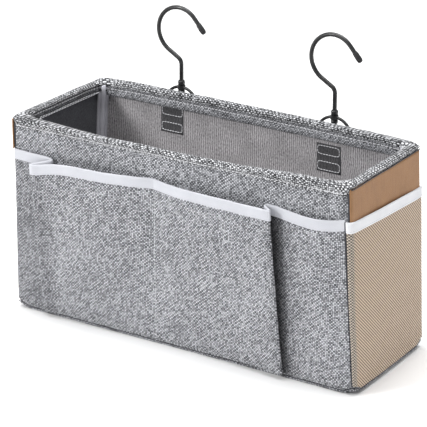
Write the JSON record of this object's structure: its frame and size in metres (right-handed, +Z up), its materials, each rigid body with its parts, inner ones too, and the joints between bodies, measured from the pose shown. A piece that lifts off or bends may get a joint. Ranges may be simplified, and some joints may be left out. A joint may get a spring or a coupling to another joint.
{
  "type": "hanging storage caddy bag",
  "caption": "Board-stiffened rectangular fabric hanging bag, open at the top, with pleated front pockets, end pockets and swivelling wire hooks.",
  "frame": {"origin": "centre of the flat underside", "axes": "+X along the long front, to the right as one faces it; +Y to the back wall that carries the hooks; +Z up out of the open top"},
  "size_m": [0.386, 0.1534, 0.2883],
  "materials": {
    "linen": "coarse heathered grey linen-look weave",
    "greyboard": "uncoated greyboard, sewn in and out of sight",
    "lining": "dark grey ribbed non-woven lining",
    "tape": "light grey seam tape",
    "binding": "white woven binding tape",
    "twill": "beige open twill with diagonal lines",
    "leatherette": "tan grained leatherette",
    "thread": "white sewing thread",
    "webbing": "dark grey woven webbing",
    "black_wire": "satin black lacquered steel wire",
    "cap": "dipped black tip"
  },
  "bodies": {
    "root": {"board_back": "greyboard", "board_floor": "greyboard", "board_front": "greyboard", "board_left": "greyboard", "board_right": "greyboard", "corner_tapes": "tape", "front_binding_left": "binding", "front_binding_right": "binding", "front_pocket_left": "linen", "front_pocket_right": "linen", "leather_band_left": "leatherette", "leather_band_right": "leatherette", "lining_back": "lining", "lining_floor": "lining", "lining_front": "lining", "lining_left": "lining", "lining_right": "lining", "outer_back": "linen", "outer_bottom": "linen", "outer_front": "linen", "outer_left": "linen", "outer_right": "linen", "pocket_stitching": "thread", "rim_hem_back": "linen", "rim_hem_front": "linen", "rim_hem_left": "linen", "rim_hem_right": "linen", "rim_stitching": "thread", "side_binding_left": "binding", "side_binding_right": "binding", "side_pocket_left": "twill", "side_pocket_right": "twill", "strap_left": "webbing", "strap_right": "webbing", "strap_stitching_left": "thread", "strap_stitching_right": "thread"},
    "ring_left": {"ring_left": "black_wire"},
    "hook_left": {"hook_wire_left": "black_wire", "hook_rivet_left": "black_wire", "hook_collar_left": "black_wire", "hook_cap_left": "cap"},
    "ring_right": {"ring_right": "black_wire"},
    "hook_right": {"hook_wire_right": "black_wire", "hook_rivet_right": "black_wire", "hook_collar_right": "black_wire", "hook_cap_right": "cap"},
    "base_insert": {"base_insert": "lining"}
  },
  "joints": [
    {"name": "ring_left_tilt", "type": "hinge", "parent": "root", "child": "ring_left", "pos_m": [-0.086, 0.0725, 0.188], "axis": [-1, 0, 0], "range_deg": [-4, 140]},
    {"name": "hook_left_swivel", "type": "hinge", "parent": "ring_left", "child": "hook_left", "pos_m": [-0.086, 0.0725, 0.2065], "axis": [0, 0, 1], "continuous": true},
    {"name": "ring_right_tilt", "type": "hinge", "parent": "root", "child": "ring_right", "pos_m": [0.086, 0.0725, 0.188], "axis": [-1, 0, 0], "range_deg": [-4, 140]},
    {"name": "hook_right_swivel", "type": "hinge", "parent": "ring_right", "child": "hook_right", "pos_m": [0.086, 0.0725, 0.2065], "axis": [0, 0, 1], "continuous": true},
    {"name": "base_insert_lift", "type": "slide", "parent": "root", "child": "base_insert", "axis": [0, 0, 1], "range_m": [0, 0.2]}
  ]
}
